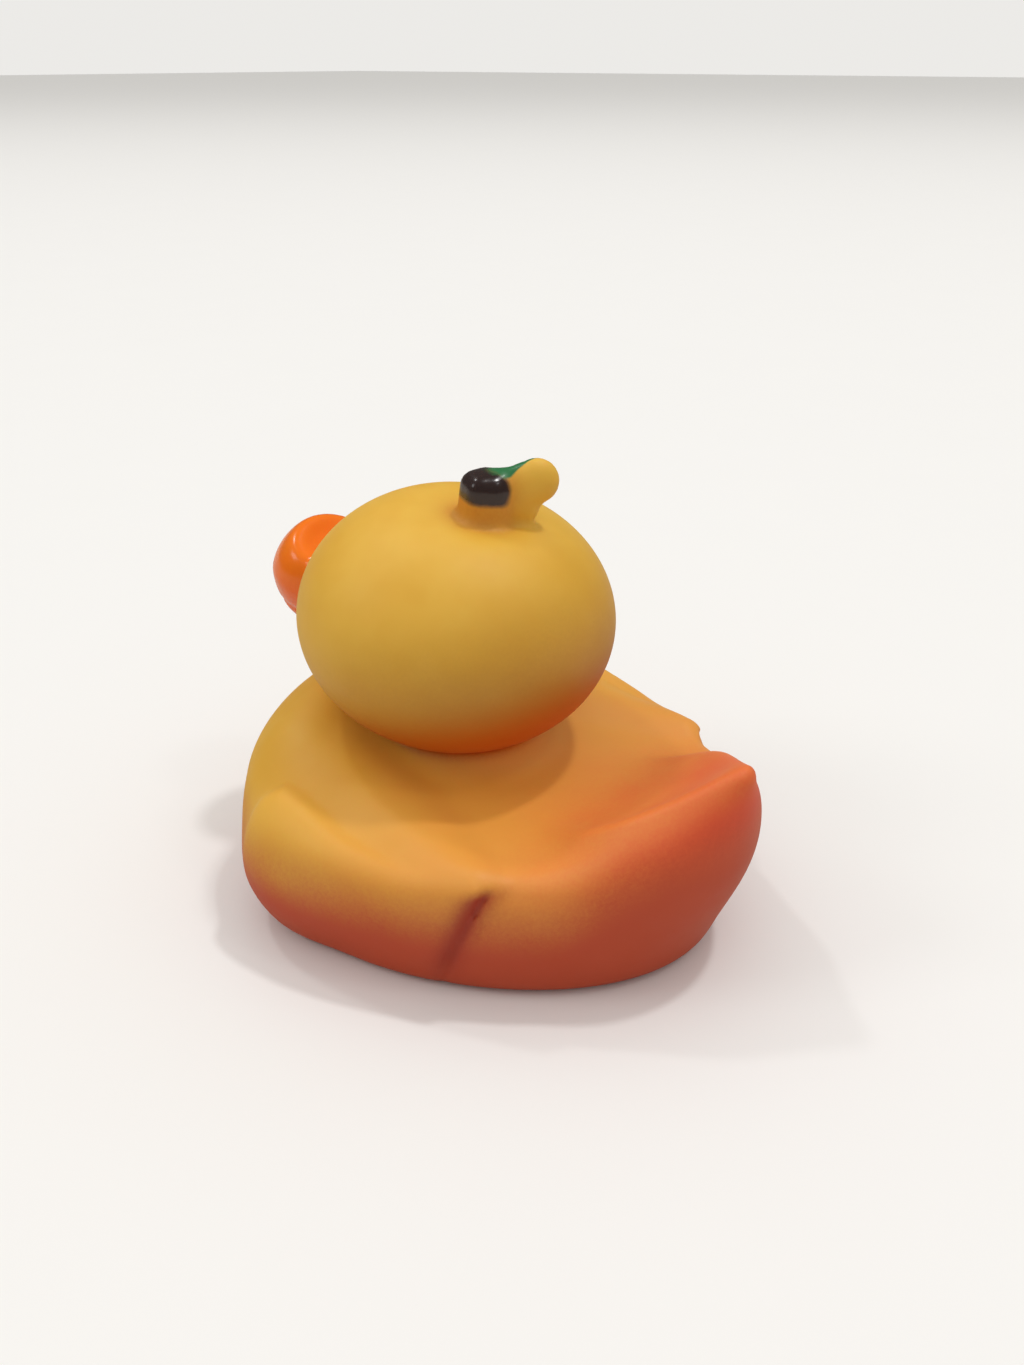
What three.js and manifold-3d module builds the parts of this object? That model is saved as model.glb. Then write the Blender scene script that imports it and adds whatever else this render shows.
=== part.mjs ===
// A small bath duck with a round, fruit-like head, moulded in one piece from soft vinyl.
// Millimetres, +Z up. The bill points along -Y, the tail along +Y, and the flat base lies at z = 0.
//
// Each lump of the duck is a signed distance formula. A sphere's vertices slide along their own
// directions until the formula reads zero, which makes one closed mesh for each lump. The lumps
// are joined, and then the hollow and the vent hole are cut out of them.
import * as THREE from 'three';
import { mergeVertices } from 'three/addons/utils/BufferGeometryUtils.js';
import Module from 'manifold-3d';

const { degToRad, clamp, lerp } = THREE.MathUtils;

// Wall, vent hole and flat base
const WALL = 2.0;
const VENT_RADIUS = 2.0;
const VENT_SIDES = 32;
const BASE_ROUNDING = 2.0;
const BASE_TRIM = 0.3; // cut off flat at z = 0

// Hull: an egg-shaped bowl, broad end forward, under a dished back that climbs to tail and neck
const HULL_CENTRE = new THREE.Vector3(0, -0.4, 12.8);
const HULL_RADII = new THREE.Vector3(25.9, 28.3, 27.6);
const HULL_EGG = 0.23;
const BACK_LOW_Y = 11.7;
const BACK_HEIGHT = 15.4;
const BACK_CLIMB_TAIL = 0.0127; // height for each square millimetre of run
const BACK_CLIMB_NECK = 0.0062;
const BACK_FALL_SIDE = 0.0016;
const BACK_STEEPNESS = 0.8;
const BACK_ROUNDING = 3.7;
const BREAST_ROUNDING = 9.2; // reached over a run forward of where the breast starts
const BREAST_START_Y = -4;
const BREAST_RUN = 18;

// Tail: a taper, wider than it is tall
const TAIL_ROOT = new THREE.Vector3(0, 21.0, 15.6);
const TAIL_TIP = new THREE.Vector3(0, 28.7, 23.6);
const TAIL_ROOT_RADIUS = 8.1;
const TAIL_TIP_RADIUS = 1.4;
const TAIL_SPREAD = 1.22;
const TAIL_BLEND = 5.5;

// Wing: a taper along the side, mirrored
const WING_SHOULDER = new THREE.Vector3(16.7, -11.0, 8.2);
const WING_TIP = new THREE.Vector3(19.3, 10.9, 13.7);
const WING_SHOULDER_RADIUS = 10.2;
const WING_TIP_RADIUS = 2.1;
const WING_BLEND = 2.5;

// Neck: an upright taper from the hull into the head
const NECK_FOOT = new THREE.Vector3(0, -6, 12);
const NECK_TOP = new THREE.Vector3(0, -6, 24);
const NECK_FOOT_RADIUS = 12;
const NECK_TOP_RADIUS = 10;
const NECK_BLEND = 3.0;

// Head: a flattened ball that leans back, dimpled round the stem
const HEAD_CENTRE = new THREE.Vector3(0, -7.3, 31.0);
const HEAD_RADII = new THREE.Vector3(17.8, 17.3, 13.9);
const HEAD_LEAN = degToRad(9);
const DIMPLE_DEPTH = 1.3;
const DIMPLE_RADIUS = 5.0;

// Bill: a short round lip, measured from the head's centre before the head leans
const BILL_CENTRE = new THREE.Vector3(0, -20.3, 0.1);
const BILL_RADII = new THREE.Vector3(7.2, 6.3, 6.0);
const BILL_TILT = degToRad(16);

// Stem: a stub with a rounded rim, set back from the head's middle, in the head's own axes
const STEM_SET_BACK = 1.7;
const STEM_RADIUS = 2.5;
const STEM_FOOT = 9.5;
const STEM_TOP = 16.8;
const STEM_RIM = 0.9;

// Leaf: a thick tongue that stands beside the stem, in the head's own axes
const LEAF_RADII = new THREE.Vector3(3.9, 1.5, 3.1);
const LEAF_CENTRE = new THREE.Vector3(-3.0, 4.9, 16.2);
const LEAF_HEADING = degToRad(133); // from the duck's left, towards its tail
const LEAF_LEAN = degToRad(15);

// Mesh steps round and along each lump
const BODY_STEPS = [64, 40];
const HEAD_STEPS = [36, 24];
const BILL_STEPS = [20, 14];
const STEM_STEPS = [18, 12];
const LEAF_STEPS = [20, 12];
const BODY_HOLLOW_STEPS = [28, 18];
const HEAD_HOLLOW_STEPS = [20, 14];
const BODY_CAST_CENTRE = new THREE.Vector3(0, 2, 7);
const BODY_CAST_SPINE = 9; // half the length along Y that the body's rays start from
const BISECTIONS = 24;
const SHORTEST_EDGE = 0.08;

const ALONG_X = new THREE.Vector3(1, 0, 0);
const ALONG_Y = new THREE.Vector3(0, 1, 0);
const ALONG_Z = new THREE.Vector3(0, 0, 1);
const LUMP_REACH = 60;

/** Smaller of two distances, blended over a width of k. */
function smoothMin(a, b, k) {
	const h = clamp(0.5 + (0.5 * (b - a)) / k, 0, 1);
	return lerp(b, a, h) - k * h * (1 - h);
}

/** Larger of two distances, blended over a width of k. */
function smoothMax(a, b, k) {
	return -smoothMin(-a, -b, k);
}

/** Near-distance from a point to an ellipsoid about the origin. */
function ellipsoidDistance(point, radii) {
	const scaled = point.clone().divide(radii);
	const slope = scaled.clone().divide(radii).length();
	return (scaled.length() * (scaled.length() - 1)) / Math.max(slope, 1e-9);
}

/** Distance from a point to the taper that wraps a ball at each end. */
function taperDistance(point, start, end, startRadius, endRadius) {
	const axis = end.clone().sub(start);
	const length = axis.length();
	axis.normalize();
	const offset = point.clone().sub(start);
	const along = offset.dot(axis);
	const across = offset.addScaledVector(axis, -along).length();
	const sine = (startRadius - endRadius) / length;
	const cosine = Math.sqrt(1 - sine * sine);
	const slide = cosine * along - sine * across;
	if (slide < 0) {
		return Math.hypot(across, along) - startRadius;
	}
	if (slide > cosine * length) {
		return Math.hypot(across, along - length) - endRadius;
	}
	return cosine * across + sine * along - startRadius;
}

/** A point in the leaning head's own axes, about the head's centre. */
function inHead(point) {
	return point.clone().sub(HEAD_CENTRE).applyAxisAngle(ALONG_X, HEAD_LEAN);
}

/** The body: hull, dished back, neck, tail and both wings, rounded off to a flat base. */
function bodyDistance(point) {
	const folded = new THREE.Vector3(Math.abs(point.x), point.y, point.z);
	const bowlPoint = folded.clone().sub(HULL_CENTRE);
	bowlPoint.x *= 1 + HULL_EGG * clamp(bowlPoint.y / HULL_RADII.y, -1.2, 1.2);
	const hull = ellipsoidDistance(bowlPoint, HULL_RADII);
	const run = point.y - BACK_LOW_Y;
	const climb = run > 0 ? BACK_CLIMB_TAIL : BACK_CLIMB_NECK;
	const back = BACK_HEIGHT + climb * run * run - BACK_FALL_SIDE * point.x * point.x;
	const forward = clamp((BREAST_START_Y - point.y) / BREAST_RUN, 0, 1);
	const rounding = lerp(BACK_ROUNDING, BREAST_ROUNDING, forward);
	const bowl = smoothMax(hull, BACK_STEEPNESS * (point.z - back), rounding);
	const squeezed = new THREE.Vector3(point.x / TAIL_SPREAD, point.y, point.z);
	const tail = taperDistance(squeezed, TAIL_ROOT, TAIL_TIP, TAIL_ROOT_RADIUS, TAIL_TIP_RADIUS);
	const wing = taperDistance(folded, WING_SHOULDER, WING_TIP, WING_SHOULDER_RADIUS, WING_TIP_RADIUS);
	const neck = taperDistance(point, NECK_FOOT, NECK_TOP, NECK_FOOT_RADIUS, NECK_TOP_RADIUS);
	const trunk = smoothMin(smoothMin(bowl, neck, NECK_BLEND), tail, TAIL_BLEND);
	const lump = smoothMin(trunk, wing, WING_BLEND);
	return smoothMax(lump, -point.z - BASE_TRIM, BASE_ROUNDING);
}

/** The head, with its dimple pressed down round the stem. */
function headDistance(point) {
	const local = inHead(point);
	const rise = clamp(local.z / HEAD_RADII.z, 0, 1);
	const spread = (local.x * local.x + local.y * local.y) / (DIMPLE_RADIUS * DIMPLE_RADIUS);
	local.z += rise * DIMPLE_DEPTH * Math.exp(-spread);
	return ellipsoidDistance(local, HEAD_RADII);
}

/** The bill. */
function billDistance(point) {
	const local = point.clone().sub(HEAD_CENTRE).sub(BILL_CENTRE);
	local.applyAxisAngle(ALONG_X, BILL_TILT);
	return ellipsoidDistance(local, BILL_RADII);
}

/** The stem: a round bar between two heights, with its edges rounded. */
function stemDistance(point) {
	const local = inHead(point);
	const middle = (STEM_TOP + STEM_FOOT) / 2;
	const half = (STEM_TOP - STEM_FOOT) / 2;
	const outward = Math.hypot(local.x, local.y - STEM_SET_BACK) - STEM_RADIUS + STEM_RIM;
	const upward = Math.abs(local.z - middle) - half + STEM_RIM;
	const outside = Math.hypot(Math.max(outward, 0), Math.max(upward, 0));
	return outside + Math.min(Math.max(outward, upward), 0) - STEM_RIM;
}

/** The leaf, its length along its heading and its top leaning forwards. */
function leafDistance(point) {
	const local = inHead(point).sub(LEAF_CENTRE);
	local.applyAxisAngle(ALONG_Z, -LEAF_HEADING);
	local.applyAxisAngle(ALONG_X, -LEAF_LEAN);
	return ellipsoidDistance(local, LEAF_RADII);
}

/**
 * A closed mesh of the surface where distance(point) is zero. Rays start from a spine along Y, half
 * as long as given, through the centre.
 */
function castLump(distance, centre, [around, along], poleAxis, spine = 0) {
	const geometry = new THREE.SphereGeometry(1, around, along);
	geometry.applyQuaternion(new THREE.Quaternion().setFromUnitVectors(ALONG_Y, poleAxis));
	geometry.deleteAttribute('normal');
	geometry.deleteAttribute('uv');
	const merged = mergeVertices(geometry);
	const position = merged.getAttribute('position');
	const direction = new THREE.Vector3();
	const start = new THREE.Vector3();
	for (let i = 0; i < position.count; i++) {
		direction.fromBufferAttribute(position, i).normalize();
		start.copy(centre).addScaledVector(ALONG_Y, spine * direction.y);
		let inside = 0;
		let outside = LUMP_REACH;
		for (let step = 0; step < BISECTIONS; step++) {
			const middle = (inside + outside) / 2;
			if (distance(start.clone().addScaledVector(direction, middle)) < 0) {
				inside = middle;
			} else {
				outside = middle;
			}
		}
		direction.multiplyScalar((inside + outside) / 2).add(start);
		position.setXYZ(i, direction.x, direction.y, direction.z);
	}
	return merged;
}

const wasm = await Module();
wasm.setup();

/** A solid from a closed geometry. */
function solidFrom(geometry) {
	const bare = geometry.clone();
	bare.deleteAttribute('normal');
	bare.deleteAttribute('uv');
	const merged = mergeVertices(bare, 1e-5);
	return new wasm.Manifold(
		new wasm.Mesh({
			numProp: 3,
			vertProperties: Float32Array.from(merged.getAttribute('position').array),
			triVerts: Uint32Array.from(merged.index.array),
		})
	);
}

/** A geometry from a solid. */
function geometryFrom(solid) {
	const mesh = solid.getMesh();
	const geometry = new THREE.BufferGeometry();
	geometry.setAttribute('position', new THREE.BufferAttribute(Float32Array.from(mesh.vertProperties), 3));
	geometry.setIndex(new THREE.BufferAttribute(Uint32Array.from(mesh.triVerts), 1));
	return geometry;
}

/** A point given in the leaning head's own axes, in the duck's axes. */
function fromHead(local) {
	return local.clone().applyAxisAngle(ALONG_X, -HEAD_LEAN).add(HEAD_CENTRE);
}

/** The outside of the moulding: body, head, bill, stem and leaf joined. */
function outerSolid() {
	const stemMiddle = new THREE.Vector3(0, STEM_SET_BACK, (STEM_TOP + STEM_FOOT) / 2);
	const billMiddle = HEAD_CENTRE.clone().add(BILL_CENTRE);
	const headUp = ALONG_Z.clone().applyAxisAngle(ALONG_X, -HEAD_LEAN);
	const lumps = [
		castLump(bodyDistance, BODY_CAST_CENTRE, BODY_STEPS, ALONG_Y, BODY_CAST_SPINE),
		castLump(headDistance, HEAD_CENTRE, HEAD_STEPS, headUp),
		castLump(billDistance, billMiddle, BILL_STEPS, ALONG_Y),
		castLump(stemDistance, fromHead(stemMiddle), STEM_STEPS, headUp),
		castLump(leafDistance, fromHead(LEAF_CENTRE), LEAF_STEPS, headUp),
	];
	return lumps.map(solidFrom).reduce((whole, lump) => whole.add(lump));
}

/** The hollow that the moulding leaves, one wall inside the body and the head. */
function hollowSolid() {
	const inBody = (point) => bodyDistance(point) + WALL;
	const inSkull = (point) => headDistance(point) + WALL;
	const belly = castLump(inBody, BODY_CAST_CENTRE, BODY_HOLLOW_STEPS, ALONG_Y, BODY_CAST_SPINE);
	const skull = castLump(inSkull, HEAD_CENTRE, HEAD_HOLLOW_STEPS, ALONG_Z);
	return solidFrom(belly).add(solidFrom(skull));
}

/** The vent hole through the base, into the hollow. */
function ventSolid() {
	const geometry = new THREE.CylinderGeometry(VENT_RADIUS, VENT_RADIUS, 4 * WALL, VENT_SIDES);
	geometry.rotateX(Math.PI / 2);
	return solidFrom(geometry);
}

/** The slab under z = 0 that trims the base flat. */
function underSolid() {
	const geometry = new THREE.BoxGeometry(4 * LUMP_REACH, 4 * LUMP_REACH, WALL);
	geometry.translate(0, 0, -WALL / 2);
	return solidFrom(geometry);
}

const closed = outerSolid().subtract(underSolid());
const vented = closed.subtract(hollowSolid()).subtract(ventSolid());
const shell = geometryFrom(vented.asOriginal().simplify(SHORTEST_EDGE));

// The origin lies under the middle of the duck's length.
shell.computeBoundingBox();
shell.translate(0, -(shell.boundingBox.min.y + shell.boundingBox.max.y) / 2, 0);
shell.computeVertexNormals();

const duck = new THREE.Group();
const vinyl = new THREE.MeshStandardMaterial({ color: 0xe0a84a, roughness: 0.5, metalness: 0 });
const duckShell = new THREE.Mesh(shell, vinyl);
duckShell.name = 'duck_shell';
duck.add(duckShell);

export default duck;
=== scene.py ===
"""A small hollow soft-vinyl bath duck with a round, fruit-like head, a stem and a leaf.

The duck is one moulding. Each part of it is a class that gives the distance from any point to its
own surface, in millimetres and in the duck's own axes: the bill points along -Y, the tail along +Y,
and the flat base lies at z = 0. The shell joins those distances with small fillets, draws one mesh
over them, and stores the paint masks on it. Lengths are millimetres until the mesh is written.
"""

import logging
import math
from collections.abc import Callable, Sequence
from dataclasses import dataclass, field
from enum import Enum

import bpy
import numpy as np
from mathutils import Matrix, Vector

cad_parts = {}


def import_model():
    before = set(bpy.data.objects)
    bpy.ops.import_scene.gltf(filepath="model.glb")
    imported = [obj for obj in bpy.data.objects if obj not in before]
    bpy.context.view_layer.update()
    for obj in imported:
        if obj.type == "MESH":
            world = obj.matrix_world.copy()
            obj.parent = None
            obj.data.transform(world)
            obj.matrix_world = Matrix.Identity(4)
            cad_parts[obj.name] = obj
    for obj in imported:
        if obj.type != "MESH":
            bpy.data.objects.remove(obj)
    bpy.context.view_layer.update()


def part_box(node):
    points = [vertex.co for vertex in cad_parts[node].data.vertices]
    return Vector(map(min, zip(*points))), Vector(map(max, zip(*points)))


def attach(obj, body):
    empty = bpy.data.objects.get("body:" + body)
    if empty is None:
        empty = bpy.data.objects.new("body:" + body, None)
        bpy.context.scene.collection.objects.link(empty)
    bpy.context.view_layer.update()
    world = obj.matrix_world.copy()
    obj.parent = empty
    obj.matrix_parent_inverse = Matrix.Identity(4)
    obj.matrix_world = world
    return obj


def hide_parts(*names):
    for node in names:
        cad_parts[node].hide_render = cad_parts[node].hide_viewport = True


LOG = logging.getLogger("duck")
MM = 0.001

Points = np.ndarray
Values = np.ndarray
Triple = tuple[float, float, float]
Colour = tuple[float, float, float, float]
Distance = Callable[[Points], Values]
Socket = bpy.types.NodeSocket
Number = Socket | float
Shade = Socket | Colour


def smooth_min(a: Values, b: Values, width: float | Values) -> Values:
    """Smaller of two distances, with a fillet between them.

    Args:
        a: First distances.
        b: Second distances.
        width: Span over which the two blend.

    Returns:
        The blended distances.
    """
    share = np.clip(0.5 + 0.5 * (b - a) / width, 0.0, 1.0)
    return b * (1.0 - share) + a * share - width * share * (1.0 - share)


def smooth_max(a: Values, b: Values, width: float | Values) -> Values:
    """Larger of two distances, with a rounded edge between them.

    Args:
        a: First distances.
        b: Second distances.
        width: Span over which the two blend.

    Returns:
        The blended distances.
    """
    return -smooth_min(-a, -b, width)


def ramp(values: Values, start: float | Values, end: float | Values) -> Values:
    """Smooth step from 0 at start to 1 at end.

    Args:
        values: What is measured.
        start: Value that gives 0.
        end: Value that gives 1, above or below start.

    Returns:
        Shares from 0 to 1.
    """
    share = np.clip((values - start) / (end - start), 0.0, 1.0)
    return share * share * (3.0 - 2.0 * share)


def bell(values: Values, width: float | Values) -> Values:
    """Bell curve that is 1 at zero and falls off over width."""
    return np.exp(-((values / width) ** 2))


def ellipsoid_distance(points: Points, radii: Triple) -> Values:
    """Near-distance from points to an ellipsoid about the origin.

    Args:
        points: Places, one row each.
        radii: Half sizes along X, Y and Z.

    Returns:
        Signed distances, below zero inside.
    """
    scale = np.asarray(radii)
    reach = np.linalg.norm(points / scale, axis=-1)
    slope = np.linalg.norm(points / (scale * scale), axis=-1)
    return reach * (reach - 1.0) / np.maximum(slope, 1e-9)


def taper_distance(
    points: Points, start: Triple, end: Triple, start_radius: float, end_radius: float
) -> Values:
    """Distance from points to the taper that wraps a ball at each end.

    Args:
        points: Places, one row each.
        start: Middle of the first ball.
        end: Middle of the second ball.
        start_radius: Radius of the first ball.
        end_radius: Radius of the second ball.

    Returns:
        Signed distances, below zero inside.
    """
    axis = np.subtract(end, start)
    length = float(np.linalg.norm(axis))
    axis = axis / length
    offset = points - np.asarray(start)
    along = offset @ axis
    across = np.linalg.norm(offset - along[..., None] * axis, axis=-1)
    sine = (start_radius - end_radius) / length
    cosine = math.sqrt(1.0 - sine * sine)
    slide = cosine * along - sine * across
    side = cosine * across + sine * along - start_radius
    near = np.hypot(across, along) - start_radius
    far = np.hypot(across, along - length) - end_radius
    return np.where(slide < 0.0, near, np.where(slide > cosine * length, far, side))


def turned(points: Points, axis: int, degrees: float) -> Points:
    """Points turned about one axis through the origin.

    Args:
        points: Places, one row each.
        axis: 0, 1 or 2 for X, Y or Z.
        degrees: Angle by the right-hand rule.

    Returns:
        The turned places.
    """
    angle = math.radians(degrees)
    first, second = (axis + 1) % 3, (axis + 2) % 3
    out = points.copy()
    out[..., first] = math.cos(angle) * points[..., first] - math.sin(angle) * points[..., second]
    out[..., second] = math.sin(angle) * points[..., first] + math.cos(angle) * points[..., second]
    return out


class Mask(Enum):
    """Paint masks stored on the shell. Names that end in _mm are distances, below zero inside."""

    BACK = "back_blush"
    SIDE = "side_blush"
    TAIL = "tail_blush"
    # Painted shade where the head meets the body.
    NECK = "neck_blush"
    # Partly airbrushed orange under the head, partly painted shade and painted glow reflected from the
    # body; also painted shadow round the stem's foot.
    CHIN = "head_blush"
    # Painted shade: darker ochre on the head's lower rear.
    NAPE = "head_shade"
    # Painted shade along the crease under the wing's tip.
    CREASE = "crease_shade"
    BILL = "bill_mm"
    DISH = "bill_dish"
    STEM = "stem_mm"
    LEAF = "leaf_mm"
    EYE = "eye_mm"
    GLINT = "glint_mm"


@dataclass
class Body:
    """Hull with a dished back, breast, tail, folded wings and a flat base."""

    hull_centre: Triple = (0.0, -0.4, 12.8)
    hull_radii: Triple = (25.9, 28.3, 27.6)
    egg: float = 0.23
    egg_limit: float = 1.2
    back_low_y: float = 11.7
    back_height: float = 15.4
    back_climb_tail: float = 0.0127
    back_climb_neck: float = 0.0062
    back_fall_side: float = 0.0016
    back_steepness: float = 0.8
    back_rounding: float = 3.7
    breast_rounding: float = 9.2
    breast_start_y: float = -4.0
    breast_run: float = 18.0
    tail_root: Triple = (0.0, 21.0, 15.6)
    tail_tip: Triple = (0.0, 28.7, 23.6)
    tail_radii: tuple[float, float] = (8.1, 1.4)
    tail_spread: float = 1.23
    tail_blend: float = 5.4
    wing_shoulder: Triple = (16.7, -11.0, 8.2)
    wing_tip: Triple = (19.3, 10.9, 13.7)
    wing_radii: tuple[float, float] = (10.2, 1.7)
    wing_blend: float = 3.2
    wing_line: tuple[tuple[float, float], ...] = (
        (26.0, -18.4),
        (22.6, -15.8),
        (20.6, -12.8),
        (21.2, -8.5),
        (22.0, -3.0),
        (21.5, 4.0),
        (20.4, 10.5),
    )
    wing_line_depth: float = 0.85
    wing_line_widths: tuple[float, float] = (1.9, 4.5)  # towards the wing, towards the back
    wing_line_tip_span: tuple[float, float] = (11.0, 2.0)
    wing_line_tip_share: float = 0.25
    wing_line_heights: tuple[float, float] = (5.0, 13.0)
    crease_foot: tuple[float, float] = (7.6, 1.0)  # along the body, then height
    crease_top: tuple[float, float] = (13.0, 14.4)
    crease_depth: float = 0.55
    crease_width: float = 0.5
    crease_step: float = 0.25
    crease_step_span: tuple[float, float] = (-0.4, 0.6)
    crease_run: float = 4.0
    crease_sides: tuple[float, float] = (12.0, 16.0)  # distance from the middle where it starts
    crease_fade: tuple[float, float] = (0.5, -1.2)  # height from its top where it fades
    crease_foot_share: float = 0.25
    crease_foot_span: tuple[float, float] = (0.5, 6.0)
    scoop_tip: tuple[float, float] = (28.4, 24.9)
    scoop_slope: float = 0.93
    scoop_curl: float = 0.02
    scoop_edge: float = 1.1
    relief_reach: float = 2.5
    neck_foot: Triple = (0.0, -6.0, 12.0)
    neck_top: Triple = (0.0, -6.0, 24.0)
    neck_radii: tuple[float, float] = (8.5, 7.5)
    neck_blend: float = 4.0
    base_rounding: float = 2.0

    def back_line(self, points: Points) -> Values:
        """Height of the dished back.

        Args:
            points: Places, one row each.

        Returns:
            Height of the back over or under each place.
        """
        run = points[..., 1] - self.back_low_y
        climb = np.where(run > 0.0, self.back_climb_tail, self.back_climb_neck)
        return self.back_height + climb * run * run - self.back_fall_side * points[..., 0] ** 2

    def crease_offset(self, points: Points) -> Values:
        """Distance from the slanting crease under the wing's tip.

        Args:
            points: Places, one row each.

        Returns:
            Distances, above zero behind the crease.
        """
        lean = (self.crease_top[0] - self.crease_foot[0]) / (self.crease_top[1] - self.crease_foot[1])
        line = self.crease_foot[0] + lean * (points[..., 2] - self.crease_foot[1])
        return (points[..., 1] - line) / math.hypot(1.0, lean)

    def crease_strength(self, points: Points) -> Values:
        """Share of the crease: full under the wing's tip, fading at the foot.

        Args:
            points: Places, one row each.

        Returns:
            Shares from 0 to 1.
        """
        side = ramp(np.abs(points[..., 0]), *self.crease_sides)
        start, end = self.crease_fade
        fade = ramp(points[..., 2], self.crease_top[1] + start, self.crease_top[1] + end)
        rise = ramp(points[..., 2], *self.crease_foot_span)
        return side * fade * (self.crease_foot_share + (1.0 - self.crease_foot_share) * rise)

    def wing_offset(self, points: Points) -> Values:
        """Distance in plan from the line where the wing meets the back.

        Args:
            points: Places, one row each.

        Returns:
            Distances, below zero on the back's side.
        """
        place = np.stack([np.abs(points[..., 0]), points[..., 1]], axis=-1)
        nearest = np.full(place.shape[:-1], np.inf)
        for start, end in zip(self.wing_line, self.wing_line[1:]):
            run = np.subtract(end, start)
            share = np.clip(((place - start) @ run) / (run @ run), 0.0, 1.0)
            gap = np.linalg.norm(place - start - share[..., None] * run, axis=-1)
            nearest = np.minimum(nearest, gap)
        across, along = np.array(self.wing_line).T
        return nearest * np.sign(place[..., 0] - np.interp(place[..., 1], along, across))

    def wing_line_strength(self, points: Points) -> Values:
        """Share of the wing's line: it fades towards the tip and down the front.

        Args:
            points: Places, one row each.

        Returns:
            Shares from 0 to 1.
        """
        tip = ramp(points[..., 1], *self.wing_line_tip_span)
        share = self.wing_line_tip_share + (1.0 - self.wing_line_tip_share) * tip
        return share * ramp(points[..., 2], *self.wing_line_heights)

    def relief(self, points: Points) -> Values:
        """Depth pressed into the body: the line round the wing, and the crease under its tip.

        Args:
            points: Places near the body's surface, one row each.

        Returns:
            Depths.
        """
        beside = self.wing_offset(points)
        width = np.where(beside > 0.0, *self.wing_line_widths)
        line = self.wing_line_depth * bell(beside, width)
        offset = self.crease_offset(points)
        fading = np.exp(-np.maximum(offset, 0.0) / self.crease_run)
        behind = ramp(offset, *self.crease_step_span) * fading
        crease = self.crease_depth * bell(offset, self.crease_width) + self.crease_step * behind
        return line * self.wing_line_strength(points) + crease * self.crease_strength(points)

    def scoop(self, points: Points) -> Values:
        """Distance above the trough that hollows the tail's upper face.

        Args:
            points: Places, one row each.

        Returns:
            Distances, above zero in the trough.
        """
        floor = self.scoop_tip[1] - self.scoop_slope * (self.scoop_tip[0] - points[..., 1])
        height = points[..., 2] - floor - self.scoop_curl * points[..., 0] ** 2
        return height / math.hypot(1.0, self.scoop_slope)

    def distance(self, points: Points) -> Values:
        """Signed distance from the body.

        Args:
            points: Places, one row each.

        Returns:
            Distances, below zero inside.
        """
        folded = points.copy()
        folded[..., 0] = np.abs(points[..., 0])
        bowl = folded - np.asarray(self.hull_centre)
        along = np.clip(bowl[..., 1] / self.hull_radii[1], -self.egg_limit, self.egg_limit)
        bowl[..., 0] *= 1.0 + self.egg * along
        hull = ellipsoid_distance(bowl, self.hull_radii)
        over_back = self.back_steepness * (points[..., 2] - self.back_line(points))
        forward = np.clip((self.breast_start_y - points[..., 1]) / self.breast_run, 0.0, 1.0)
        rounding = self.back_rounding + (self.breast_rounding - self.back_rounding) * forward
        out = smooth_max(hull, over_back, rounding)
        neck = taper_distance(points, self.neck_foot, self.neck_top, *self.neck_radii)
        out = smooth_min(out, neck, self.neck_blend)
        squeezed = points * np.array([1.0 / self.tail_spread, 1.0, 1.0])
        tail = taper_distance(squeezed, self.tail_root, self.tail_tip, *self.tail_radii)
        tail = smooth_max(tail, self.scoop(points), self.scoop_edge)
        out = smooth_min(out, tail, self.tail_blend)
        wing = taper_distance(folded, self.wing_shoulder, self.wing_tip, *self.wing_radii)
        out = smooth_min(out, wing, self.wing_blend)
        near = np.abs(out) < self.relief_reach
        out[near] += self.relief(points[near])
        return smooth_max(out, -points[..., 2], self.base_rounding)


@dataclass
class Head:
    """Flattened ball that leans back, dimpled round the stem."""

    centre: Triple = (0.0, -7.2, 31.0)
    radii: Triple = (17.8, 17.3, 13.9)
    lean: float = 8.9
    dimple_depth: float = 1.8
    dimple_radius: float = 5.6
    dimple_back: float = 1.0

    def local(self, points: Points) -> Points:
        """Points in the leaning head's own axes, about its middle."""
        return turned(points - np.asarray(self.centre), 0, self.lean)

    def distance(self, points: Points) -> Values:
        """Signed distance from the head.

        Args:
            points: Places, one row each.

        Returns:
            Distances, below zero inside.
        """
        place = self.local(points)
        spread = np.hypot(place[..., 0], place[..., 1] - self.dimple_back)
        rise = np.clip(place[..., 2] / self.radii[2], 0.0, 1.0)
        place[..., 2] += rise * self.dimple_depth * bell(spread, self.dimple_radius)
        return ellipsoid_distance(place, self.radii)


@dataclass
class Bill:
    """Short upturned bill: a dished upper lip over a smaller lower one, with a line between."""

    centre: Triple = (0.0, -20.2, 0.3)
    radii: Triple = (7.1, 6.2, 7.1)
    narrowing: float = 0.22
    tilt: float = 20.0
    dish_centre: Triple = (0.0, 0.4, 8.4)
    dish_radii: Triple = (8.5, 4.8, 4.6)
    dish_rounding: float = 1.6
    mouth_height: float = -3.2
    mouth_depth: float = 0.4
    mouth_width: float = 0.45

    def local(self, points: Points, head: Head) -> Points:
        """Points in the bill's own axes, with its tip turned up."""
        middle = np.add(head.centre, self.centre)
        return turned(points - middle, 0, self.tilt)

    def distance(self, points: Points, head: Head) -> Values:
        """Signed distance from the bill.

        Args:
            points: Places, one row each.
            head: Head that the bill stands on.

        Returns:
            Distances, below zero inside.
        """
        place = self.local(points, head)
        narrowed = place.copy()
        narrowed[..., :2] *= 1.0 + self.narrowing * np.clip(-place[..., 2:] / self.radii[2], 0.0, 1.0)
        lip = ellipsoid_distance(narrowed, self.radii)
        dish = ellipsoid_distance(place - np.asarray(self.dish_centre), self.dish_radii)
        lip = smooth_max(lip, -dish, self.dish_rounding)
        mouth = bell(place[..., 2] - self.mouth_height, self.mouth_width)
        return lip + self.mouth_depth * mouth


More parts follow.
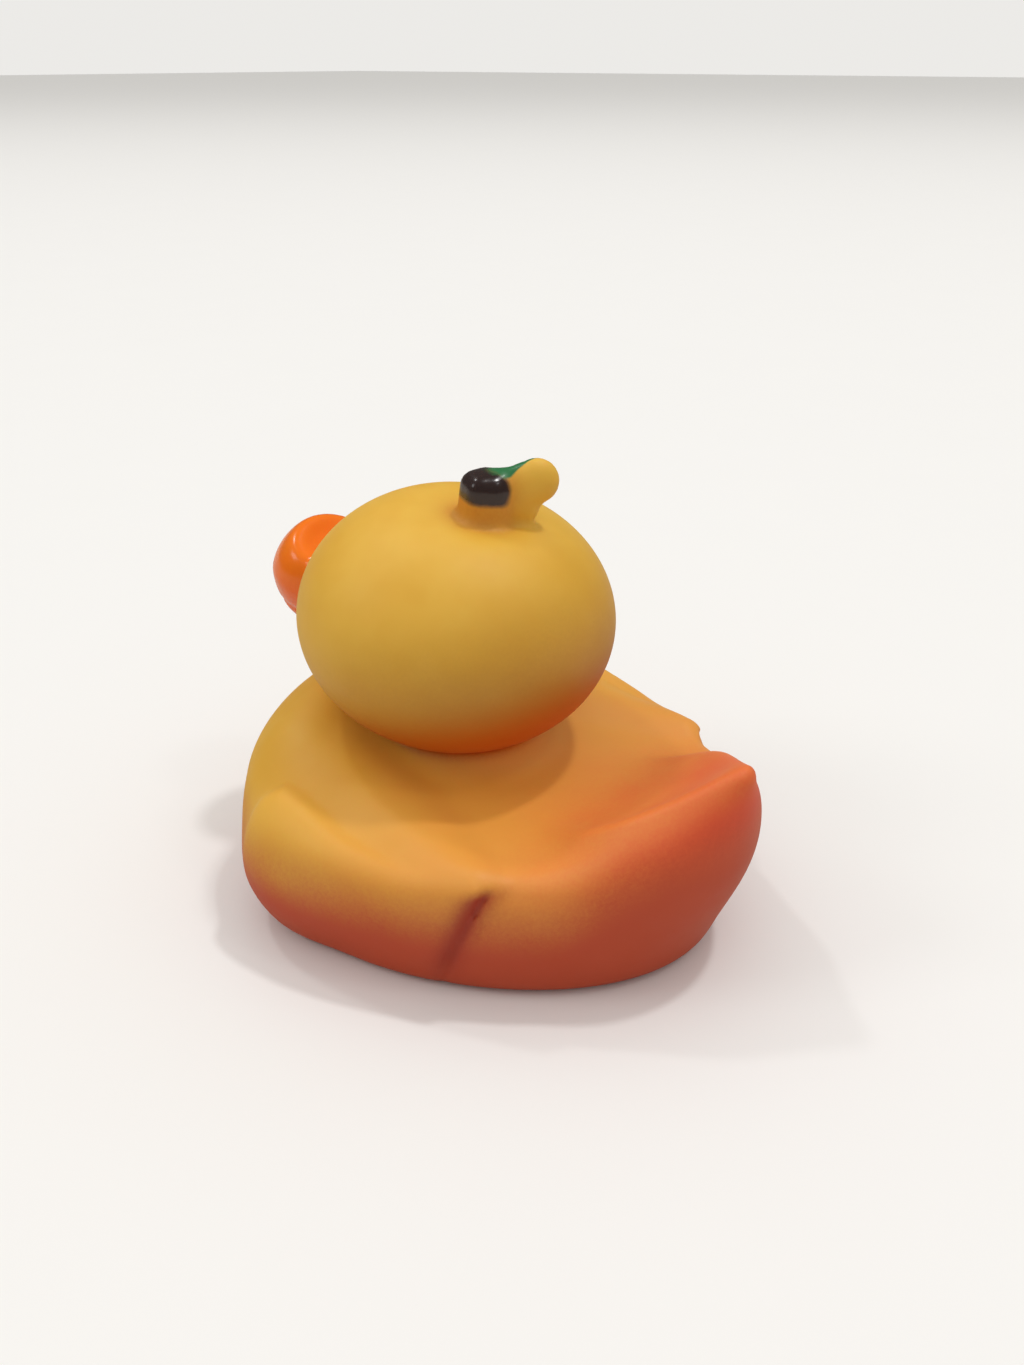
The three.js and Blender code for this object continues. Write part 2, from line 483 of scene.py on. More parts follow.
@dataclass
class Stem:
    """Stub on the head's top, with a rounded, uneven rim and a soft foot."""

    set_back: float = 1.7
    radius: float = 2.5
    foot: float = 9.5
    top: float = 17.4
    rim: float = 1.5
    paint_foot: float = 14.7
    lumps: int = 5
    lump_height: float = 0.12
    lump_turn: float = 0.7
    lump_span: tuple[float, float] = (0.2, 1.6)

    def distance(self, points: Points, head: Head) -> Values:
        """Signed distance from the stem.

        Args:
            points: Places, one row each.
            head: Head that the stem stands on.

        Returns:
            Distances, below zero inside.
        """
        place = head.local(points)
        aside = place[..., 0]
        ahead = place[..., 1] - self.set_back
        middle = (self.top + self.foot) / 2.0
        half = (self.top - self.foot) / 2.0
        turn = np.arctan2(ahead, aside)
        spread = np.hypot(aside, ahead)
        wave = np.sin(self.lumps * turn + self.lump_turn)
        lumps = self.lump_height * wave * ramp(spread, *self.lump_span)
        outward = spread - self.radius + self.rim - lumps
        upward = np.abs(place[..., 2] - middle) - half + self.rim
        outside = np.hypot(np.maximum(outward, 0.0), np.maximum(upward, 0.0))
        return outside + np.minimum(np.maximum(outward, upward), 0.0) - self.rim


@dataclass
class Leaf:
    """Thick tongue that stands up beside the stem, painted on the face turned from the tail."""

    heading: float = 131.0
    root: Triple = (1.4, 0.0, 14.7)
    end: Triple = (5.2, 0.0, 17.0)
    radii: tuple[float, float] = (2.7, 2.35)
    web_end: Triple = (4.4, 0.0, 13.9)
    web_radii: tuple[float, float] = (2.2, 1.3)
    web_blend: float = 1.0
    flatness: float = 0.62
    lean: float = 12.0
    paint_line: float = -0.7
    paint_slant: float = 0.5
    paint_middle: float = 3.4

    def local(self, points: Points, head: Head, stem: Stem) -> Points:
        """Points along, across and up the leaf, from the stem's axis.

        Args:
            points: Places, one row each.
            head: Head that the leaf stands on.
            stem: Stem that the leaf grows beside.

        Returns:
            The places in the leaf's own axes.
        """
        place = head.local(points) - np.array([0.0, stem.set_back, 0.0])
        place = turned(place, 2, -self.heading)
        pivot = np.array([0.0, 0.0, self.root[2]])
        return turned(place - pivot, 0, self.lean) + pivot

    def distance(self, points: Points, head: Head, stem: Stem) -> Values:
        """Signed distance from the leaf.

        Args:
            points: Places, one row each.
            head: Head that the leaf stands on.
            stem: Stem that the leaf grows beside.

        Returns:
            Distances, below zero inside.
        """
        place = self.local(points, head, stem)
        place[..., 1] /= self.flatness
        tongue = taper_distance(place, self.root, self.end, *self.radii)
        web = taper_distance(place, self.root, self.web_end, *self.web_radii)
        return self.flatness * smooth_min(tongue, web, self.web_blend)

    def far_face(self, place: Points) -> Values:
        """Distance in the leaf's own axes from the face that is painted, below zero on it."""
        return self.paint_line + self.paint_slant * (place[:, 0] - self.paint_middle) - place[:, 1]


@dataclass
class Eyes:
    """Plain painted eyes: an upright dark oval each, with one pale glint."""

    turn: float = 29.0
    lift: float = 1.5
    radii: tuple[float, float] = (1.9, 2.5)
    glint_turn: float = 27.0
    glint_lift: float = 2.6
    glint_radius: float = 0.62

    def oval(
        self, place: Points, head: Head, turn: float, lift: float, radii: tuple[float, float]
    ) -> Values:
        """Distance round a painted oval on the head's front, mirrored across the middle.

        Args:
            place: Points in the head's own axes.
            head: Head that carries the paint.
            turn: Angle of the oval's middle from the bill.
            lift: Height of the oval's middle.
            radii: Half width and half height.

        Returns:
            Distances, below zero inside the oval.
        """
        around = np.degrees(np.arctan2(np.abs(place[..., 0]), -place[..., 1]))
        aside = np.radians(around - turn) * head.radii[0]
        reach = np.hypot(aside / radii[0], (place[..., 2] - lift) / radii[1])
        return (reach - 1.0) * min(radii)

    def eye(self, place: Points, head: Head) -> Values:
        """Distance round both dark ovals, for places in the head's own axes."""
        return self.oval(place, head, self.turn, self.lift, self.radii)

    def glint(self, place: Points, head: Head) -> Values:
        """Distance round both pale glints, for places in the head's own axes."""
        radii = (self.glint_radius, self.glint_radius)
        return self.oval(place, head, self.glint_turn, self.glint_lift, radii)


@dataclass
class ShellMesh:
    """Surface drawn over a distance formula on a regular grid."""

    step: float = 0.4
    margin: float = 1.2
    polish: int = 3
    nudge: float = 0.02
    least_steepness: float = 0.2

    def grid_values(self, distance: Distance, axes: list[Values]) -> Values:
        """Distances at every grid corner, worked out one slab at a time.

        Args:
            distance: Function from places to distances.
            axes: Grid marks along X, Y and Z.

        Returns:
            Array of distances, one for each corner.
        """
        out = np.empty([len(marks) for marks in axes])
        for number, mark in enumerate(axes[0]):
            side, up = np.meshgrid(axes[1], axes[2], indexing="ij")
            slab = np.stack([np.full_like(side, mark), side, up], axis=-1)
            out[number] = distance(slab)
        return out

    def draw(self, distance: Distance, low: Triple, high: Triple) -> tuple[Points, Values]:
        """Mesh the surface where the distance is zero.

        Args:
            distance: Function from places to distances.
            low: Lowest corner of the space to search.
            high: Highest corner of that space.

        Returns:
            Vertices, and rows of four vertex numbers.
        """
        axes = [np.arange(a - self.margin, b + self.margin, self.step) for a, b in zip(low, high)]
        values = self.grid_values(distance, axes)
        inside = values < 0.0
        offsets = [(i, j, k) for i in (0, 1) for j in (0, 1) for k in (0, 1)]
        cells = [len(marks) - 1 for marks in axes]
        count = np.zeros(cells, dtype=np.int8)
        for i, j, k in offsets:
            count += inside[i:i + cells[0], j:j + cells[1], k:k + cells[2]]
        active = np.argwhere((count > 0) & (count < len(offsets)))
        vertices = self.cell_points(values, active, axes, offsets)
        number = np.full(cells, -1, dtype=np.int64)
        number[tuple(active.T)] = np.arange(len(active))
        faces = np.concatenate([self.axis_faces(inside, number, axis) for axis in range(3)])
        for _ in range(self.polish):
            vertices = self.settle(distance, vertices)
        return vertices, faces

    def cell_points(
        self, values: Values, active: Values, axes: list[Values], offsets: list[tuple[int, int, int]]
    ) -> Points:
        """One vertex in each crossed cell: the mean of the places where its edges cross.

        Args:
            values: Distances at the grid corners.
            active: Numbers of the crossed cells.
            axes: Grid marks along X, Y and Z.
            offsets: Offsets of a cell's eight corners.

        Returns:
            Vertices, one row each.
        """
        total = np.zeros((len(active), 3))
        hits = np.zeros(len(active))
        for first in offsets:
            for axis in range(3):
                if first[axis]:
                    continue
                second = tuple(1 if at == axis else first[at] for at in range(3))
                near = values[tuple((active + first).T)]
                far = values[tuple((active + second).T)]
                cross = (near < 0.0) != (far < 0.0)
                share = np.where(cross, near / np.where(cross, near - far, 1.0), 0.0)
                spot = np.tile(np.asarray(first, dtype=float), (len(active), 1))
                spot[:, axis] = share
                total += np.where(cross[:, None], spot, 0.0)
                hits += cross
        start = np.stack([axes[at][active[:, at]] for at in range(3)], axis=-1)
        return start + self.step * total / hits[:, None]

    def axis_faces(self, inside: Values, number: Values, axis: int) -> Values:
        """Quads round the grid edges that run along one axis and cross the surface.

        Args:
            inside: Whether each grid corner is inside.
            number: Vertex number of each cell.
            axis: Axis that the edges run along.

        Returns:
            Rows of four vertex numbers, wound to face outwards.
        """
        first, second = (axis + 1) % 3, (axis + 2) % 3
        here = np.moveaxis(inside, (axis, first, second), (0, 1, 2))
        cells = np.moveaxis(number, (axis, first, second), (0, 1, 2))
        near = here[:-1, 1:-1, 1:-1]
        far = here[1:, 1:-1, 1:-1]
        ring = [cells[:, :-1, :-1], cells[:, 1:, :-1], cells[:, 1:, 1:], cells[:, :-1, 1:]]
        leaving = near & ~far
        entering = far & ~near
        out = np.stack([part[leaving] for part in ring], axis=-1)
        back = np.stack([part[entering] for part in reversed(ring)], axis=-1)
        return np.concatenate([out, back])

    def settle(self, distance: Distance, vertices: Points) -> Points:
        """Vertices moved onto the surface along its slope.

        Args:
            distance: Function from places to distances.
            vertices: Places near the surface.

        Returns:
            Places on the surface.
        """
        value = distance(vertices)
        slope = np.empty_like(vertices)
        for axis in range(3):
            offset = np.zeros(3)
            offset[axis] = self.nudge
            rise = distance(vertices + offset) - distance(vertices - offset)
            slope[:, axis] = rise / (2.0 * self.nudge)
        steepness = np.maximum((slope * slope).sum(axis=1), self.least_steepness)
        move = np.clip(value / steepness, -self.step, self.step)
        return vertices - move[:, None] * slope


@dataclass
class Vent:
    """Round hole through the base, and the part of the hollow that shows through it."""

    middle_y: float = -1.8
    radius: float = 2.0
    wall: float = 2.0
    hollow_radius: float = 9.0
    hollow_squash: float = 0.55

    def distance(self, points: Points) -> Values:
        """Signed distance from the empty space.

        Args:
            points: Places, one row each.

        Returns:
            Distances, below zero in the hole and the hollow.
        """
        around = np.hypot(points[..., 0], points[..., 1] - self.middle_y)
        hole = np.maximum(around - self.radius, points[..., 2] - 2.0 * self.wall)
        half_height = self.hollow_squash * self.hollow_radius
        centre = np.array([0.0, self.middle_y, self.wall + half_height])
        radii = (self.hollow_radius, self.hollow_radius, half_height)
        return np.minimum(hole, ellipsoid_distance(points - centre, radii))


@dataclass
class Sprays:
    """Where each mist and each painted shade starts and where it is full, in millimetres."""

    back_span: tuple[float, float] = (-26.0, 20.0)
    side_top: float = 15.6
    side_rise: float = 8.0
    side_rise_span: tuple[float, float] = (17.0, 29.0)
    side_depth: float = 10.0
    scoop_span: tuple[float, float] = (-0.6, -4.6)
    scoop_end_span: tuple[float, float] = (20.0, 13.0)
    tail_span: tuple[float, float] = (26.0, 3.0)
    tail_widening: float = 1.3
    tail_dish_share: float = 0.7
    # Painted shade where the head meets the body: its strength and width.
    neck_shade_share: float = 0.8
    neck_shade_width: float = 0.8
    # Under the head: partly airbrushed orange, partly painted shade and painted glow reflected from the
    # body.
    chin_slope: float = 0.35
    chin_span: tuple[float, float] = (-3.5, -11.5)
    # Painted shadow round the stem's foot, in the dimple: its strength and width.
    stem_foot_shadow_share: float = 0.5
    stem_foot_shadow_width: float = 1.5
    # Painted shade on the head's lower rear: its slope and span.
    head_shade_slope: float = 0.5
    head_shade_span: tuple[float, float] = (6.0, -12.0)
    # Painted shade along the crease under the wing's tip: its width.
    crease_width: float = 1.3
    bill_span: tuple[float, float] = (-1.0, 3.5)

    def body_masks(self, body: Body, points: Points) -> dict[Mask, Values]:
        """Mists and the painted crease shade on the body, as if all of the shell were body.

        Args:
            body: Body that is sprayed.
            points: Vertices, one row each.

        Returns:
            One array of shares for each mist.
        """
        y, z = points[:, 1], points[:, 2]
        offset = (points - np.asarray(body.tail_tip)) / (self.tail_widening, 1.0, 1.0)
        from_tip = np.linalg.norm(offset, axis=1)
        top = self.side_top + self.side_rise * ramp(y, *self.side_rise_span)
        ahead = ramp(y, *self.scoop_end_span)
        outside_dish = np.maximum(ramp(body.scoop(points), *self.scoop_span), ahead)
        tail = self.tail_dish_share + (1.0 - self.tail_dish_share) * outside_dish
        crease = bell(body.crease_offset(points), self.crease_width)
        return {
            Mask.BACK: ramp(y, *self.back_span),
            Mask.SIDE: ramp(z, top, top - self.side_depth) * outside_dish,
            Mask.TAIL: ramp(from_tip, *self.tail_span) * tail,
            # Painted shade along the crease under the wing's tip.
            Mask.CREASE: crease * body.crease_strength(points),
        }

    def head_masks(self, skull: Points, to_stem: Values) -> dict[Mask, Values]:
        """Mists and painted shade on the head, as if all of the shell were head.

        Args:
            skull: Vertices in the head's own axes.
            to_stem: Their distances from the stem.

        Returns:
            One array of shares for each mist.
        """
        # Under the head: partly airbrushed orange, partly painted shade and painted glow reflected from
        # the body.
        chin = ramp(skull[:, 2] - self.chin_slope * skull[:, 1], *self.chin_span)
        # Painted shade: ochre on the head's lower rear.
        painted_nape_shade = ramp(skull[:, 2] - self.head_shade_slope * skull[:, 1], *self.head_shade_span)
        # Painted shadow round the stem's foot, in the dimple.
        foot = self.stem_foot_shadow_share * bell(to_stem, self.stem_foot_shadow_width)
        return {Mask.CHIN: np.maximum(chin, foot), Mask.NAPE: painted_nape_shade}


@dataclass
class DuckShell:
    """The whole moulding: its parts, its mesh and its paint masks."""

    body: Body = field(default_factory=Body)
    head: Head = field(default_factory=Head)
    bill: Bill = field(default_factory=Bill)
    stem: Stem = field(default_factory=Stem)
    leaf: Leaf = field(default_factory=Leaf)
    eyes: Eyes = field(default_factory=Eyes)
    vent: Vent = field(default_factory=Vent)
    sprays: Sprays = field(default_factory=Sprays)
    mesh: ShellMesh = field(default_factory=ShellMesh)
    neck_fillet: float = 0.7
    paint_join: float = 0.4
    bill_fillet: float = 2.2
    stem_fillet: float = 1.5
    leaf_fillet: float = 1.2
    stem_paint_reach: float = 0.45
    stem_paint_rounding: float = 0.8
    leaf_paint_reach: float = 0.35
    leaf_paint_foot: float = 14.2
    low: Triple = (-28.0, -34.5, -0.5)
    high: Triple = (28.0, 31.0, 51.0)

    def distance(self, points: Points) -> Values:
        """Signed distance from the whole moulding.

        Args:
            points: Places, one row each.

        Returns:
            Distances, below zero inside.
        """
        out = smooth_min(self.body.distance(points), self.head.distance(points), self.neck_fillet)
        out = smooth_min(out, self.bill.distance(points, self.head), self.bill_fillet)
        out = smooth_min(out, self.stem.distance(points, self.head), self.stem_fillet)
        out = smooth_min(out, self.leaf.distance(points, self.head, self.stem), self.leaf_fillet)
        return np.maximum(out, -self.vent.distance(points))

    def masks(self, points: Points) -> dict[Mask, Values]:
        """Paint masks at the mesh's vertices.

        Args:
            points: Vertices, one row each.

        Returns:
            One array of values for each mask.
        """
        skull = self.head.local(points)
        to_head = self.head.distance(points)
        to_body = self.body.distance(points)
        to_bill = self.bill.distance(points, self.head)
        to_stem = self.stem.distance(points, self.head)
        on_body = ramp(to_body - to_head, self.paint_join, -self.paint_join)
        # Painted shade along the line where the head meets the body.
        contact = bell(np.maximum(to_head, to_body), self.sprays.neck_shade_width)
        out = {Mask.NECK: self.sprays.neck_shade_share * contact}
        for mask, share in self.sprays.body_masks(self.body, points).items():
            out[mask] = on_body * share
        for mask, share in self.sprays.head_masks(skull, to_stem).items():
            out[mask] = (1.0 - on_body) * share
        bill_height = self.bill.local(points, self.head)[:, 2]
        out[Mask.DISH] = ramp(bill_height, *self.sprays.bill_span)
        out[Mask.BILL] = to_bill - np.minimum(to_head, to_body)
        out[Mask.STEM] = self.stem_paint(skull, to_stem)
        out[Mask.LEAF] = self.leaf_paint(points, skull)
        out[Mask.EYE] = self.eyes.eye(skull, self.head)
        out[Mask.GLINT] = self.eyes.glint(skull, self.head)
        return out

    def stem_paint(self, skull: Points, to_stem: Values) -> Values:
        """Distance round the stem's dark paint, which stops above its foot.

        Args:
            skull: Vertices in the head's own axes.
            to_stem: Their distances from the stem.

        Returns:
            Distances, below zero inside the paint.
        """
        above_foot = self.stem.paint_foot - skull[:, 2]
        return smooth_max(to_stem - self.stem_paint_reach, above_foot, self.stem_paint_rounding)

    def leaf_paint(self, points: Points, skull: Points) -> Values:
        """Distance round the green paint on the leaf's far face.

        Args:
            points: Vertices, one row each.
            skull: Vertices in the head's own axes.

        Returns:
            Distances, below zero inside the paint.
        """
        to_leaf = self.leaf.distance(points, self.head, self.stem)
        far_face = self.leaf.far_face(self.leaf.local(points, self.head, self.stem))
        above_foot = self.leaf_paint_foot - skull[:, 2]
        return np.maximum(np.maximum(to_leaf - self.leaf_paint_reach, far_face), above_foot)

    def build(self) -> bpy.types.Object:
        """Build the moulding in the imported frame.

        Returns:
            The duck's mesh object, in metres.
        """
        vertices, faces = self.mesh.draw(self.distance, self.low, self.high)
        masks = self.masks(vertices)
        lowest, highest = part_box("duck_shell")
        middle = 0.5 * (lowest[1] + highest[1])
        shift = middle - 0.5 * MM * (vertices[:, 1].min() + vertices[:, 1].max())
        places = vertices * MM + np.array([0.0, shift, 0.0])
        places[:, 2] = np.maximum(places[:, 2], 0.0)
        data = bpy.data.meshes.new("duck")
        data.from_pydata(places.tolist(), [], faces.tolist())
        data.update()
        for mask, values in masks.items():
            layer = data.attributes.new(mask.value, "FLOAT", "POINT")
            layer.data.foreach_set("value", values.astype(np.float32))
        data.shade_smooth()
        duck = bpy.data.objects.new("duck", data)
        bpy.context.scene.collection.objects.link(duck)
        return duck


def linear(code: str) -> Colour:
    """Linear colour from a display colour.

    Args:
        code: Six hexadecimal digits.

    Returns:
        Red, green, blue and an alpha of 1.
    """
    parts = [int(code[at:at + 2], 16) / 255.0 for at in (0, 2, 4)]
    bent = [part / 12.92 if part <= 0.04045 else ((part + 0.055) / 1.055) ** 2.4 for part in parts]
    return (*bent, 1.0)


class Graph:
    """Short calls that add and join shader nodes in one tree."""

    def __init__(self, tree: bpy.types.NodeTree) -> None:
        """Start on a tree.

        Args:
            tree: Material or group tree to fill.
        """
        self.tree = tree

    def node(self, kind: str, **settings: str | bool) -> bpy.types.Node:
        """Add a node.

        Args:
            kind: Node type without its ShaderNode prefix, or a full type name.
            settings: Attributes to set on it.

        Returns:
            The new node.
        """
        full = kind if kind.startswith("Node") else "ShaderNode" + kind
        made = self.tree.nodes.new(full)
        for name, value in settings.items():
            setattr(made, name, value)
        return made

    def put(self, socket: Socket, value: Number | Shade) -> None:
        """Link a socket into another, or set a plain value on it.

        Args:
            socket: Input to feed.
            value: Output to link, or the plain value.
        """
        if isinstance(value, bpy.types.NodeSocket):
            self.tree.links.new(value, socket)
        else:
            socket.default_value = value

    def math(self, operation: str, first: Number, second: Number = 0.0, clamp: bool = False) -> Socket:
        """Add a Math node.

        Args:
            operation: Name of the sum.
            first: First value or socket.
            second: Second value or socket.
            clamp: Whether the result stays from 0 to 1.

        Returns:
            Its result.
        """
        made = self.node("Math", operation=operation, use_clamp=clamp)
        self.put(made.inputs[0], first)
        self.put(made.inputs[1], second)
        return made.outputs[0]

    def mix(self, share: Number, under: Shade, over: Shade) -> Socket:
        """Mix two colours.

        Args:
            share: How much of the upper colour shows.
            under: Lower colour.
            over: Upper colour.

        Returns:
            The mixed colour.
        """
        made = self.node("Mix", data_type="RGBA")
        self.put(made.inputs["Factor"], share)
        self.put(made.inputs[6], under)
        self.put(made.inputs[7], over)
        return made.outputs[2]

    def mix_value(self, share: Number, under: Number, over: Number) -> Socket:
        """Mix two numbers.

        Args:
            share: How much of the upper number counts.
            under: Lower number.
            over: Upper number.

        Returns:
            The mixed number.
        """
        made = self.node("Mix", data_type="FLOAT")
        self.put(made.inputs[0], share)
        self.put(made.inputs[2], under)
        self.put(made.inputs[3], over)
        return made.outputs[0]

    def steps(
        self, value: Number, low: Number, high: Number, start: float = 0.0, end: float = 1.0
    ) -> Socket:
        """Smoothly map a value from one span to another.

        Args:
            value: What is mapped.
            low: Value that gives start.
            high: Value that gives end.
            start: First end of the new span.
            end: Other end of the new span.

        Returns:
            The mapped value.
        """
        made = self.node("MapRange", interpolation_type="SMOOTHSTEP")
        for socket, number in zip(made.inputs, (value, low, high, start, end)):
            self.put(socket, number)
        return made.outputs[0]

    def noise(self, place: Socket, per_metre: float, detail: float, rough: float) -> Socket:
        """Noise from 0 to 1.

        Args:
            place: Position.
            per_metre: Features in a metre.
            detail: Finer layers.
            rough: Strength of the finer layers.

        Returns:
            The noise.
        """
        made = self.node("TexNoise")
        self.put(made.inputs["Vector"], place)
        made.inputs["Scale"].default_value = per_metre
        made.inputs["Detail"].default_value = detail
        made.inputs["Roughness"].default_value = rough
        return made.outputs[0]

    def mask(self, mask: Mask) -> Socket:
        """Value of a paint mask stored on the mesh."""
        return self.node("Attribute", attribute_name=mask.value).outputs["Fac"]

    def place(self) -> Socket:
        """Position on the object, in metres."""
        return self.node("TexCoord").outputs["Object"]

    def group(self, tree: bpy.types.NodeTree, **values: Number) -> bpy.types.Node:
        """Place a node group.

        Args:
            tree: The group.
            values: Inputs by name, with underscores for spaces.

        Returns:
            The group's node.
        """
        made = self.node("Group")
        made.node_tree = tree
        for name, value in values.items():
            self.put(made.inputs[name.replace("_", " ").title()], value)
        return made


@dataclass(frozen=True)
class Grain:
    """How many features each kind of unevenness has in a metre."""

    mist_speckle: float = 2600.0
    mist_drift: float = 130.0
    edge_waver: float = 900.0
    peel: float = 420.0
    fine_grain: float = 3200.0
    dull_patches: float = 70.0
    specks: float = 105.0
    vinyl_tone: float = 90.0
    paper_tone: float = 40.0


GRAIN = Grain()


class EffectGroups:
    """Shader node groups that the finishes share."""

    def __init__(self) -> None:
        """Build every group once."""
        self.airbrush = self.build_airbrush()
        self.paint_edge = self.build_paint_edge()
        self.skin = self.build_skin()
        self.handling = self.build_handling()

    def start(
        self, name: str, inputs: dict[str, float | str], outputs: dict[str, str]
    ) -> tuple[bpy.types.NodeTree, Graph, bpy.types.Node, bpy.types.Node]:
        """Open a group with named sockets.

        Args:
            name: Name of the group.
            inputs: Default of each input, or "vector".
            outputs: Socket kind of each output.

        Returns:
            The tree, its graph, its input node and its output node.
        """
        tree = bpy.data.node_groups.new(name, "ShaderNodeTree")
        for title, default in inputs.items():
            kind = "NodeSocketVector" if default == "vector" else "NodeSocketFloat"
            socket = tree.interface.new_socket(title, in_out="INPUT", socket_type=kind)
            if kind == "NodeSocketFloat":
                socket.default_value = default
        for title, kind in outputs.items():
            tree.interface.new_socket(title, in_out="OUTPUT", socket_type=kind)
        graph = Graph(tree)
        return tree, graph, graph.node("NodeGroupInput"), graph.node("NodeGroupOutput")

    def build_airbrush(self) -> bpy.types.NodeTree:
        """Spray mist, also used to spread the painted shade: a soft mask that breaks into fine speckle
        where it thins out.

        Returns:
            The group.
        """
        tree, graph, given, out = self.start(
            "airbrush mist",
            {"Place": "vector", "Cover": 0.0, "Speckle": 0.25, "Drift": 0.3},
            {"Mask": "NodeSocketFloat"},
        )
        fine = graph.noise(given.outputs["Place"], GRAIN.mist_speckle, 2.0, 0.7)
        broad = graph.noise(given.outputs["Place"], GRAIN.mist_drift, 3.0, 0.5)
        cover = given.outputs["Cover"]
        thin = graph.math("MULTIPLY", cover, graph.math("SUBTRACT", 1.0, cover))
        fine = graph.math("MULTIPLY", graph.math("SUBTRACT", fine, 0.5), given.outputs["Speckle"])
        broad = graph.math("MULTIPLY", graph.math("SUBTRACT", broad, 0.5), given.outputs["Drift"])
        change = graph.math("MULTIPLY", graph.math("ADD", fine, broad), graph.math("MULTIPLY", thin, 4.0))
        graph.put(out.inputs["Mask"], graph.math("ADD", cover, change, clamp=True))
        return tree

    def build_paint_edge(self) -> bpy.types.NodeTree:
        """Masked paint: a nearly crisp edge that wavers a little along its line.

        Returns:
            The group.
        """
        tree, graph, given, out = self.start(
            "paint edge",
            {"Place": "vector", "Distance": 0.0, "Waver": 0.15, "Softness": 0.12},
            {"Mask": "NodeSocketFloat"},
        )
        wave = graph.noise(given.outputs["Place"], GRAIN.edge_waver, 3.0, 0.6)
        shift = graph.math("MULTIPLY", graph.math("SUBTRACT", wave, 0.5), given.outputs["Waver"])
        shifted = graph.math("ADD", given.outputs["Distance"], shift)
        edge = graph.math("MULTIPLY", given.outputs["Softness"], -1.0)
        graph.put(out.inputs["Mask"], graph.steps(shifted, given.outputs["Softness"], edge))
        return tree

    def build_skin(self) -> bpy.types.NodeTree:
        """Moulded surface: a faint orange-peel and a finer grain, as a height.

        Returns:
            The group.
        """
        tree, graph, given, out = self.start(
            "moulded skin",
            {"Place": "vector", "Peel": 0.6, "Grain": 0.4},
            {"Height": "NodeSocketFloat"},
        )
        peel = graph.noise(given.outputs["Place"], GRAIN.peel, 2.0, 0.5)
        grain = graph.noise(given.outputs["Place"], GRAIN.fine_grain, 2.0, 0.6)
        peel = graph.math("MULTIPLY", peel, given.outputs["Peel"])
        grain = graph.math("MULTIPLY", grain, given.outputs["Grain"])
        graph.put(out.inputs["Height"], graph.math("ADD", peel, grain))
        return tree

    def build_handling(self) -> bpy.types.NodeTree:
        """Handling: broad dull patches, and a few tiny dark specks pressed into the surface.

        Returns:
            The group.
        """
        tree, graph, given, out = self.start(
            "handling marks",
            {"Place": "vector", "Speck Amount": 1.0},
            {"Dull": "NodeSocketFloat", "Speck": "NodeSocketFloat"},
        )
        dull = graph.noise(given.outputs["Place"], GRAIN.dull_patches, 4.0, 0.6)
        graph.put(out.inputs["Dull"], graph.steps(dull, 0.38, 0.68))
        cells = graph.node("TexVoronoi", feature="F1")
        graph.put(cells.inputs["Vector"], given.outputs["Place"])
        cells.inputs["Scale"].default_value = GRAIN.specks
        rare = graph.node("SeparateColor")
        graph.put(rare.inputs[0], cells.outputs["Color"])
        chosen = graph.math("GREATER_THAN", rare.outputs[0], 0.86)
        spot = graph.steps(cells.outputs["Distance"], 0.035, 0.012)
        speck = graph.math("MULTIPLY", graph.math("MULTIPLY", spot, chosen), given.outputs["Speck Amount"])
        graph.put(out.inputs["Speck"], speck)
        return tree


